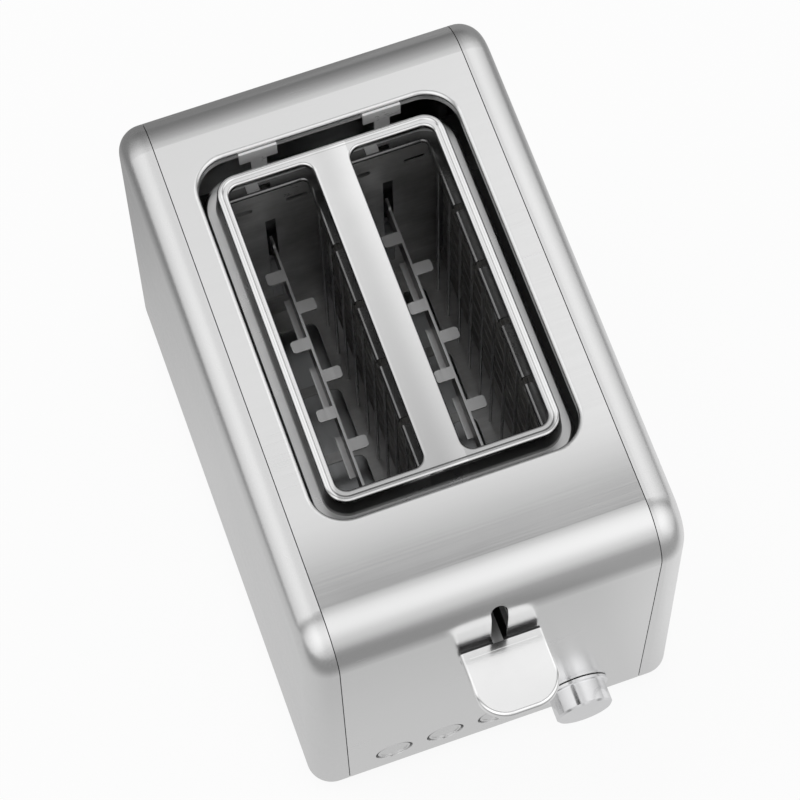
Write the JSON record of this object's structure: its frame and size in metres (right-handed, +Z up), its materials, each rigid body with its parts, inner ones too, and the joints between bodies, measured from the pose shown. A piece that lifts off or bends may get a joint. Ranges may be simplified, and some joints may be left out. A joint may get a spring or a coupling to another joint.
{
  "type": "pop up toaster",
  "caption": "Pop-up toaster with a wrapped steel shell, two bread slots in a raised polished frame, side panels, a carriage lever, push buttons, a browning knob and a crumb tray",
  "frame": {"origin": "on the table plane under the feet, midway between the two side panels and midway between the lever paddle's front edge and the cord inlet", "axes": "+X to the right seen from the control end, +Y from the control end to the cord end along the slots, +Z up"},
  "size_m": [0.1818, 0.3136, 0.198],
  "materials": {
    "shell_steel": "satin brushed stainless steel",
    "side_panel": "smooth silver paint",
    "base_plastic": "moulded black plastic",
    "feet_rubber": "black rubber",
    "zinc_steel": "zinc-plated steel",
    "tray_steel": "thin rolled sheet",
    "polished_steel": "polished stainless steel",
    "chassis_steel": "aluminised steel sheet, darkened by heat",
    "reflector_steel": "aluminised reflector sheet, darkened by heat",
    "carriage_steel": "plated steel strip",
    "lever_chrome": "polished plated face",
    "spring_steel": "drawn spring wire",
    "copper_wire": "enamelled winding",
    "circuit_board": "laminated circuit board",
    "electronic_parts": "moulded electronic parts",
    "button_satin": "satin silver coating",
    "knob_chrome": "satin chrome plating",
    "wire_steel": "drawn steel wire",
    "mica_sheet": "pressed mica sheet",
    "heater_ribbon": "oxidised resistance ribbon"
  },
  "bodies": {
    "housing": {"top_shell": "shell_steel", "left_side_panel": "side_panel", "right_side_panel": "side_panel", "base_frame": "base_plastic", "rubber_feet": "feet_rubber", "base_screws": "zinc_steel", "cord_inlet": "base_plastic", "slot_frame": "polished_steel", "chassis_top_plate": "chassis_steel", "chassis_bottom_plate": "chassis_steel", "front_end_plate": "chassis_steel", "rear_end_plate": "chassis_steel", "left_reflector": "reflector_steel", "right_reflector": "reflector_steel", "heater_board_outer_left": "mica_sheet", "heater_board_inner_left": "mica_sheet", "heater_board_inner_right": "mica_sheet", "heater_board_outer_right": "mica_sheet", "heating_ribbon_outer_left": "heater_ribbon", "heating_ribbon_inner_left": "heater_ribbon", "heating_ribbon_inner_right": "heater_ribbon", "heating_ribbon_outer_right": "heater_ribbon", "guard_wires_left": "wire_steel", "guard_wires_right": "wire_steel", "guide_rod": "zinc_steel", "electromagnet_core": "zinc_steel", "electromagnet_coil": "copper_wire", "control_board": "circuit_board", "board_components": "electronic_parts", "button_switches": "base_plastic", "button_guide": "base_plastic", "browning_control": "zinc_steel"},
    "carriage": {"carriage_rack_left": "carriage_steel", "carriage_rack_right": "carriage_steel", "carriage_slider": "carriage_steel", "latch_plate": "zinc_steel", "lever_core": "base_plastic", "lever_paddle": "lever_chrome", "lift_spring": "spring_steel"},
    "crumb_drawer": {"crumb_tray": "tray_steel", "crumb_tray_handle": "base_plastic"},
    "left_button": {"button_left": "button_satin"},
    "middle_button": {"button_middle": "button_satin"},
    "right_button": {"button_right": "button_satin"},
    "knob": {"knob_shaft": "zinc_steel", "browning_knob": "knob_chrome"}
  },
  "joints": [
    {"name": "carriage_slide", "type": "slide", "parent": "housing", "child": "carriage", "axis": [0, 0, -1], "range_m": [0, 0.047], "stiffness_N_per_m": 150, "springref_m": -0.04, "deforming": ["lift_spring"]},
    {"name": "crumb_tray_slide", "type": "slide", "parent": "housing", "child": "crumb_drawer", "axis": [0, 1, 0], "range_m": [0, 0.19]},
    {"name": "left_button_push", "type": "slide", "parent": "housing", "child": "left_button", "axis": [0, 1, 0], "range_m": [0, 0.0015], "stiffness_N_per_m": 600, "springref_m": -0.0005},
    {"name": "middle_button_push", "type": "slide", "parent": "housing", "child": "middle_button", "axis": [0, 1, 0], "range_m": [0, 0.0015], "stiffness_N_per_m": 600, "springref_m": -0.0005},
    {"name": "right_button_push", "type": "slide", "parent": "housing", "child": "right_button", "axis": [0, 1, 0], "range_m": [0, 0.0015], "stiffness_N_per_m": 600, "springref_m": -0.0005},
    {"name": "browning_knob_turn", "type": "hinge", "parent": "housing", "child": "knob", "pos_m": [0.0404, -0.1212, 0.026], "axis": [0, -1, 0], "range_deg": [0, 270]}
  ]
}
